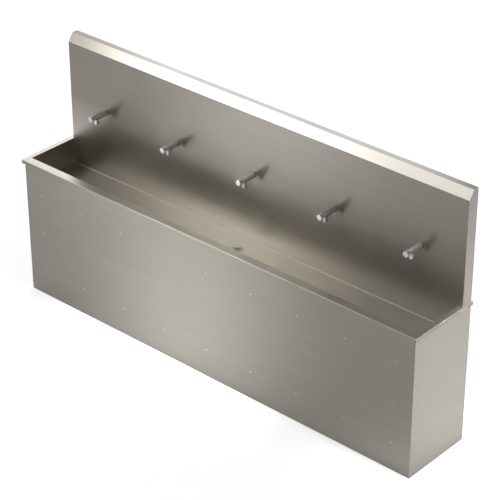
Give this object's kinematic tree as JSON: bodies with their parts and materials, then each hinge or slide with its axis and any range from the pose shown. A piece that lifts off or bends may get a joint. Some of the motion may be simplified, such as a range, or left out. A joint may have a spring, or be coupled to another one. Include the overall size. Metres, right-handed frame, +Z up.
{
  "type": "wash trough",
  "caption": "Long wall-backed stainless steel hand wash sink with push-button spouts, a tall splashback and a full apron.",
  "frame": {"origin": "under the middle of the whole sink, on the floor", "axes": "+X along the sink to the user's right, +Y towards the wall, +Z up"},
  "size_m": [3.033, 0.5094, 1.615],
  "materials": {
    "brushed_stainless": "brushed along the length, satin",
    "frame_tube": "mill finish tube",
    "zinc_steel": "zinc plated",
    "satin_chrome": "satin chrome",
    "polished_button": "polished",
    "black_rubber": "matt",
    "white_plastic": "matt",
    "copper_pipe": "dull copper",
    "brass": "machined brass",
    "blue_plastic": "moulded",
    "red_lever": "dipped"
  },
  "bodies": {
    "sink": {"trough_tray": "brushed_stainless", "splashback": "brushed_stainless", "front_apron": "brushed_stainless", "left_end_panel": "brushed_stainless", "right_end_panel": "brushed_stainless", "apron_screws": "brushed_stainless", "front_leg_1": "frame_tube", "front_leg_2": "frame_tube", "front_leg_3": "frame_tube", "front_leg_4": "frame_tube", "rear_leg_1": "frame_tube", "rear_leg_2": "frame_tube", "rear_leg_3": "frame_tube", "rear_leg_4": "frame_tube", "bowl_bearer_1": "frame_tube", "bowl_bearer_2": "frame_tube", "bowl_bearer_3": "frame_tube", "bowl_bearer_4": "frame_tube", "front_top_rail": "frame_tube", "front_bottom_rail": "frame_tube", "rear_top_rail": "frame_tube", "bowl_pads": "black_rubber", "levelling_feet": "zinc_steel", "wall_hooks": "frame_tube", "waste_flange": "satin_chrome", "waste_gasket": "black_rubber", "waste_locknut": "brass", "trap_nuts": "white_plastic", "trap_body": "white_plastic", "trap_cup": "white_plastic", "waste_pipe": "white_plastic", "supply_pipe": "copper_pipe", "valve_body": "brass", "riser_pipe": "copper_pipe", "manifold": "copper_pipe", "manifold_clips": "zinc_steel", "tap_tails": "brass", "tap_back_nuts": "brass", "tap_wall_seals": "black_rubber", "tap_barrel_1": "satin_chrome", "tap_barrel_2": "satin_chrome", "tap_barrel_3": "satin_chrome", "tap_barrel_4": "satin_chrome", "tap_barrel_5": "satin_chrome", "tap_nozzle_1": "satin_chrome", "tap_nozzle_2": "satin_chrome", "tap_nozzle_3": "satin_chrome", "tap_nozzle_4": "satin_chrome", "tap_nozzle_5": "satin_chrome", "tap_cartridge_1": "blue_plastic", "tap_cartridge_2": "blue_plastic", "tap_cartridge_3": "blue_plastic", "tap_cartridge_4": "blue_plastic", "tap_cartridge_5": "blue_plastic"},
    "valve_lever": {"valve_lever": "red_lever"},
    "button_1": {"tap_button_1": "polished_button"},
    "button_2": {"tap_button_2": "polished_button"},
    "button_3": {"tap_button_3": "polished_button"},
    "button_4": {"tap_button_4": "polished_button"},
    "button_5": {"tap_button_5": "polished_button"}
  },
  "joints": [
    {"name": "button_1_press", "type": "slide", "parent": "sink", "child": "button_1", "axis": [0, 1, 0], "range_m": [0, 0.008], "stiffness_N_per_m": 800, "springref_m": -0.004},
    {"name": "button_2_press", "type": "slide", "parent": "sink", "child": "button_2", "axis": [0, 1, 0], "range_m": [0, 0.008], "stiffness_N_per_m": 800, "springref_m": -0.004},
    {"name": "button_3_press", "type": "slide", "parent": "sink", "child": "button_3", "axis": [0, 1, 0], "range_m": [0, 0.008], "stiffness_N_per_m": 800, "springref_m": -0.004},
    {"name": "button_4_press", "type": "slide", "parent": "sink", "child": "button_4", "axis": [0, 1, 0], "range_m": [0, 0.008], "stiffness_N_per_m": 800, "springref_m": -0.004},
    {"name": "button_5_press", "type": "slide", "parent": "sink", "child": "button_5", "axis": [0, 1, 0], "range_m": [0, 0.008], "stiffness_N_per_m": 800, "springref_m": -0.004},
    {"name": "valve_lever_turn", "type": "hinge", "parent": "sink", "child": "valve_lever", "pos_m": [1.4615, 0.17075, 0.61], "axis": [0, 1, 0], "range_deg": [0, 90]}
  ]
}
